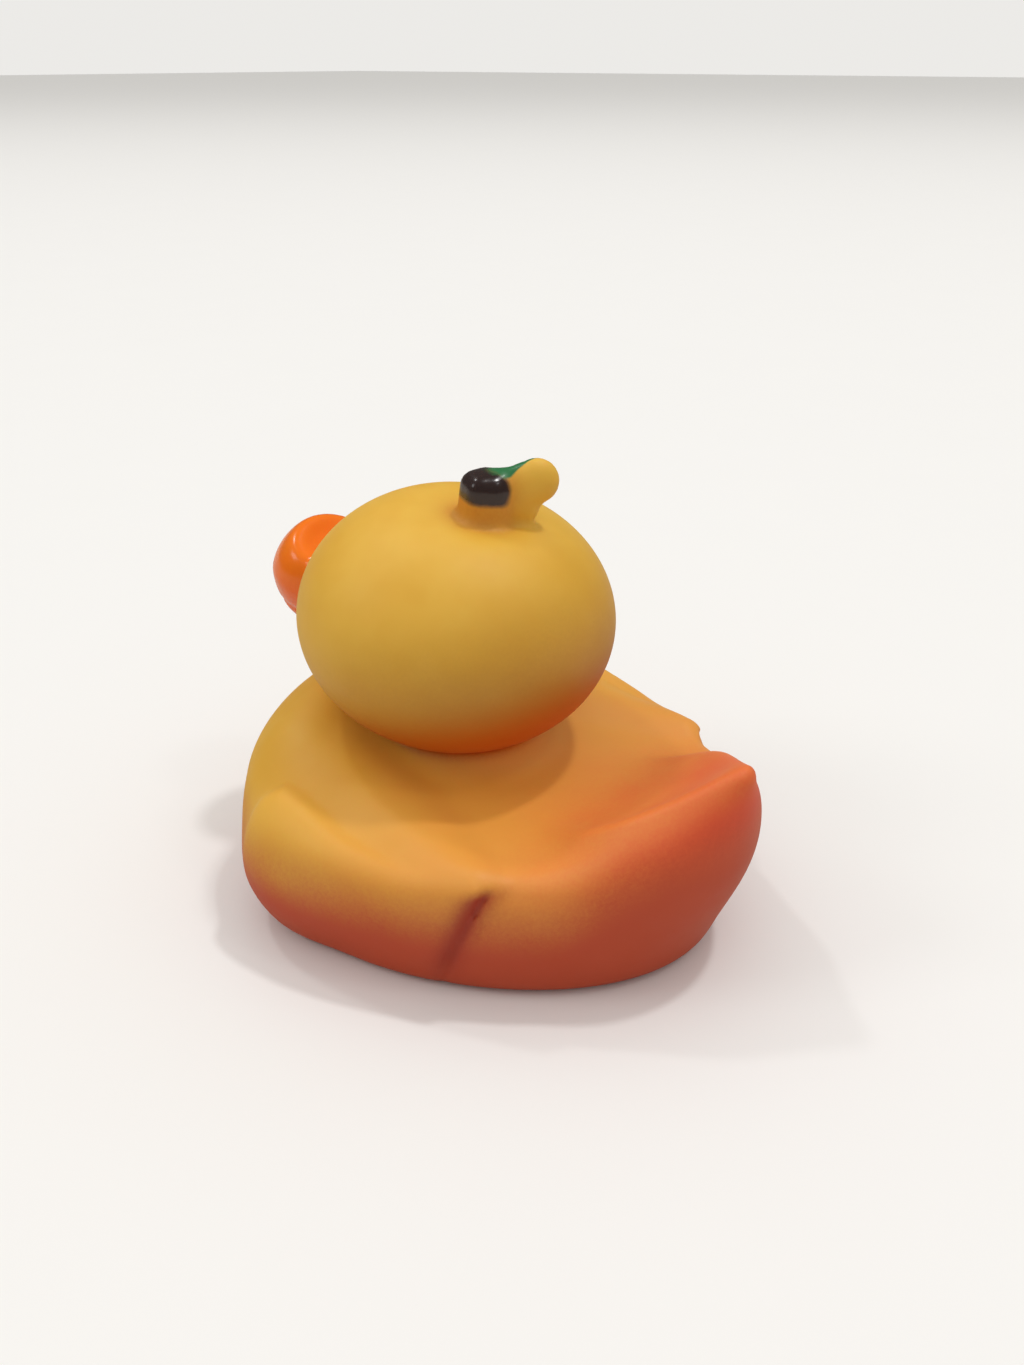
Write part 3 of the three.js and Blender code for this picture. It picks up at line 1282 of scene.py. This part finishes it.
@dataclass(frozen=True)
class VinylPaint:
    """Soft vinyl in peach yellow, misted orange and brick red, with masked gloss paints, and painted shade
    under and behind the head, at the neck, round the stem's foot and in the wing's crease.
    """

    yellow: str = "EFBC44"
    yellow_deep: str = "E8B034"
    amber: str = "F0A044"
    ember: str = "CC4E2A"
    # Painted shade in the crease under the wing's tip.
    crease_shade_brick: str = "B23A20"
    tail_red: str = "EA5430"
    # Painted shade on the head's lower rear.
    head_shade_ochre: str = "BE8634"
    # Partly airbrushed orange, partly painted shade and painted glow reflected from the body.
    chin_orange_and_shade: str = "C45E00"
    # Painted shade where the head meets the body.
    neck_shade_red: str = "B04A10"
    bill_orange: str = "FF7C00"
    bill_deep: str = "FF7000"
    stem_brown: str = "32221F"
    leaf_green: str = "2A7A45"
    eye_black: str = "14110F"
    glint_white: str = "F4F1EA"
    speck_brown: str = "4A2C14"
    speck_share: float = 0.8
    roughness: float = 0.5
    dulling: float = 0.08
    gloss: float = 0.16
    coat: float = 0.3
    leaf_shine: float = 0.5
    specular: float = 0.45
    soft_share: float = 0.12
    soft_reach: Triple = (1.0, 0.45, 0.2)
    soft_depth: float = 0.0012
    bump: float = 0.12
    bump_height: float = 0.0002

    def build(self, groups: EffectGroups) -> bpy.types.Material:
        """Build the finish.

        Args:
            groups: Shared effects.

        Returns:
            The material.
        """
        material = bpy.data.materials.new("soft vinyl")
        material.use_nodes = True
        tree = material.node_tree
        tree.nodes.clear()
        graph = Graph(tree)
        place = graph.place()
        shader = graph.node("BsdfPrincipled")
        graph.put(graph.node("OutputMaterial").inputs[0], shader.outputs[0])
        marks = graph.group(groups.handling, place=place)
        bill = self.masked(graph, groups, place, Mask.BILL, 0.1)
        stem = self.masked(graph, groups, place, Mask.STEM, 0.2, 0.25)
        leaf = self.masked(graph, groups, place, Mask.LEAF, 0.25)
        eye = self.masked(graph, groups, place, Mask.EYE, 0.06)
        glint = self.masked(graph, groups, place, Mask.GLINT, 0.05)
        colour = self.sprayed_colour(graph, groups, place)
        specks = graph.math("MULTIPLY", marks.outputs["Speck"], self.speck_share)
        bill_colour = graph.mix(
            graph.mask(Mask.DISH), linear(self.bill_deep), linear(self.bill_orange)
        )
        for share, paint in (
            (specks, linear(self.speck_brown)),
            (bill, bill_colour),
            (stem, linear(self.stem_brown)),
            (leaf, linear(self.leaf_green)),
            (eye, linear(self.eye_black)),
            (glint, linear(self.glint_white)),
        ):
            colour = graph.mix(share, colour, paint)
        graph.put(shader.inputs["Base Color"], colour)
        shiny = graph.math("MULTIPLY", leaf, self.leaf_shine)
        for share in (bill, stem, eye, glint):
            shiny = graph.math("MAXIMUM", shiny, share)
        dull = graph.math("MULTIPLY", marks.outputs["Dull"], self.dulling)
        satin = graph.math("ADD", self.roughness, dull)
        under_coat = self.gloss + self.dulling
        graph.put(shader.inputs["Roughness"], graph.mix_value(shiny, satin, under_coat))
        graph.put(shader.inputs["Coat Weight"], graph.math("MULTIPLY", shiny, self.coat))
        shader.inputs["Coat Roughness"].default_value = self.gloss
        shader.inputs["Specular IOR Level"].default_value = self.specular
        shader.inputs["Subsurface Weight"].default_value = self.soft_share
        shader.inputs["Subsurface Radius"].default_value = self.soft_reach
        shader.inputs["Subsurface Scale"].default_value = self.soft_depth
        skin = graph.group(groups.skin, place=place)
        bump = graph.node("Bump")
        bump.inputs["Strength"].default_value = self.bump
        bump.inputs["Distance"].default_value = self.bump_height
        graph.put(bump.inputs["Height"], skin.outputs["Height"])
        graph.put(shader.inputs["Normal"], bump.outputs[0])
        return material

    def masked(
        self,
        graph: Graph,
        groups: EffectGroups,
        place: Socket,
        mask: Mask,
        waver: float,
        softness: float = 0.12,
    ) -> Socket:
        """Share of a masked paint, from its stored distance.

        Args:
            graph: Material graph.
            groups: Shared effects.
            place: Position on the object.
            mask: Paint to read.
            waver: How far its edge wanders, in millimetres.
            softness: Half width of its edge, in millimetres.

        Returns:
            Share from 0 to 1.
        """
        edge = graph.group(
            groups.paint_edge,
            place=place,
            distance=graph.mask(mask),
            waver=waver,
            softness=softness,
        )
        return edge.outputs["Mask"]

    def sprayed_colour(self, graph: Graph, groups: EffectGroups, place: Socket) -> Socket:
        """Vinyl colour under its airbrushed mists and its painted shade.

        Args:
            graph: Material graph.
            groups: Shared effects.
            place: Position on the object.

        Returns:
            The colour.
        """
        tone = graph.noise(place, GRAIN.vinyl_tone, 3.0, 0.5)
        toned = graph.steps(tone, 0.3, 0.7)
        colour = graph.mix(toned, linear(self.yellow), linear(self.yellow_deep))
        layers = (
            (Mask.BACK, self.amber, 0.25, 0.35),
            # Painted shade: ochre on the head's lower rear.
            (Mask.NAPE, self.head_shade_ochre, 0.2, 0.3),
            # Partly airbrushed orange, partly painted shade and painted glow reflected from the body,
            # under the head.
            (Mask.CHIN, self.chin_orange_and_shade, 0.2, 0.2),
            (Mask.TAIL, self.tail_red, 0.35, 0.5),
            (Mask.SIDE, self.ember, 0.45, 0.5),
            # Painted shade where the head meets the body.
            (Mask.NECK, self.neck_shade_red, 0.2, 0.3),
            # Painted shade in the crease under the wing's tip.
            (Mask.CREASE, self.crease_shade_brick, 0.2, 0.2),
        )
        for mask, paint, speckle, drift in layers:
            mist = graph.group(
                groups.airbrush,
                place=place,
                cover=graph.mask(mask),
                speckle=speckle,
                drift=drift,
            )
            colour = graph.mix(mist.outputs["Mask"], colour, linear(paint))
        return colour


@dataclass(frozen=True)
class FloorPaper:
    """Plain pale paper that the duck stands on."""

    colour: str = "F4F3F1"
    colour_dull: str = "DAD8D4"
    dulling: float = 0.05
    bounce: str = "CFC8BE"
    roughness: float = 0.9

    def build(self) -> bpy.types.Material:
        """Build the finish.

        Returns:
            The material.
        """
        material = bpy.data.materials.new("pale paper")
        material.use_nodes = True
        shader = material.node_tree.nodes["Principled BSDF"]
        graph = Graph(material.node_tree)
        tone = graph.noise(graph.place(), GRAIN.paper_tone, 4.0, 0.6)
        dull = graph.math("MULTIPLY", tone, self.dulling)
        paper = graph.mix(dull, linear(self.colour), linear(self.colour_dull))
        seen = graph.node("LightPath").outputs["Is Camera Ray"]
        graph.put(shader.inputs["Base Color"], graph.mix(seen, linear(self.bounce), paper))
        shader.inputs["Roughness"].default_value = self.roughness
        return material


class Lamp(Enum):
    """Studio lamps: azimuth and elevation in degrees, share of the light, width in metres."""

    FAR_SIDE = (241.0, 70.0, 0.20, 0.2)
    FRONT = (357.0, 58.0, 0.08, 0.2)
    REAR = (195.0, 58.0, 0.03, 0.3)
    LEFT = (50.0, 38.0, 0.09, 0.9)


@dataclass
class Studio:
    """Pale floor, ceiling lamps and the camera."""

    floor_width: float = 12.0
    aim: Triple = (1.35, 3.12, 25.89)
    azimuth: float = 128.5
    elevation: float = 26.98
    reach: float = 132.47
    lens: float = 32.49
    lamp_reach: float = 2.5
    zenith: float = 0.90
    horizon: float = 0.20
    mirrored: float = 0.12
    backdrop: float = 0.84
    sky: Colour = (1.0, 0.985, 0.955, 1.0)
    film_width: float = 36.0
    nearest: float = 0.005

    def direction(self, azimuth: float, elevation: float) -> Vector:
        """Unit vector towards a place on the sky, azimuth 0 lying along -Y.

        Args:
            azimuth: Angle round from -Y towards +X.
            elevation: Angle above the floor.

        Returns:
            The direction.
        """
        turn, rise = math.radians(azimuth), math.radians(elevation)
        level = math.cos(rise)
        return Vector((math.sin(turn) * level, -math.cos(turn) * level, math.sin(rise)))

    def build_floor(self) -> None:
        """Lay the floor."""
        half = self.floor_width / 2.0
        data = bpy.data.meshes.new("floor")
        square = [(-half, -half, 0.0), (half, -half, 0.0), (half, half, 0.0), (-half, half, 0.0)]
        data.from_pydata(square, [], [(0, 1, 2, 3)])
        data.materials.append(FloorPaper().build())
        floor = bpy.data.objects.new("floor", data)
        bpy.context.scene.collection.objects.link(floor)

    def build_lamps(self) -> None:
        """Hang the lamps over the duck."""
        target = Vector(self.aim) * MM
        for lamp in Lamp:
            azimuth, elevation, share, width = lamp.value
            data = bpy.data.lights.new(lamp.name.lower(), "AREA")
            data.energy = share * (math.pi * self.lamp_reach) ** 2
            data.shape = "DISK"
            data.size = width
            hung = bpy.data.objects.new(lamp.name.lower(), data)
            hung.location = target + self.direction(azimuth, elevation) * self.lamp_reach
            hung.rotation_euler = (target - hung.location).to_track_quat("-Z", "Y").to_euler()
            bpy.context.scene.collection.objects.link(hung)

    def build_room(self) -> None:
        """Light the room softly from above, and show a plain pale wall behind the floor."""
        world = bpy.data.worlds.new("room")
        world.use_nodes = True
        graph = Graph(world.node_tree)
        split = graph.node("SeparateXYZ")
        graph.put(split.inputs[0], graph.node("TexCoord").outputs["Generated"])
        soft = graph.steps(split.outputs[2], 0.0, 0.9, self.horizon, self.zenith)
        path = graph.node("LightPath")
        soft = graph.mix_value(path.outputs["Is Glossy Ray"], soft, self.mirrored)
        background = world.node_tree.nodes["Background"]
        background.inputs["Color"].default_value = self.sky
        strength = graph.mix_value(path.outputs["Is Camera Ray"], soft, self.backdrop)
        graph.put(background.inputs["Strength"], strength)
        bpy.context.scene.world = world

    def build_camera(self) -> None:
        """Set the camera behind the duck's left side, a little above it."""
        data = bpy.data.cameras.new("camera")
        data.lens = self.lens
        data.sensor_width = self.film_width
        data.clip_start = self.nearest
        camera = bpy.data.objects.new("camera", data)
        target = Vector(self.aim) * MM
        away = self.direction(self.azimuth, self.elevation)
        camera.location = target + away * self.reach * MM
        camera.rotation_euler = (-away).to_track_quat("-Z", "Y").to_euler()
        bpy.context.scene.collection.objects.link(camera)
        bpy.context.scene.camera = camera

    def build(self) -> None:
        """Build the whole studio."""
        self.build_floor()
        self.build_lamps()
        self.build_room()
        self.build_camera()
        bpy.context.scene.view_settings.view_transform = "Standard"


def main() -> None:
    """Load the frame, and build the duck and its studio."""
    logging.basicConfig(level=logging.INFO, format="%(name)s: %(message)s")
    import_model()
    duck = DuckShell().build()
    duck.data.materials.append(VinylPaint().build(EffectGroups()))
    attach(duck, "root")
    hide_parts("duck_shell")
    LOG.info("%s: %d faces", duck.name, len(duck.data.polygons))
    Studio().build()
    LOG.info("studio: %d lamps", len(Lamp))


if __name__ == "__main__":
    main()
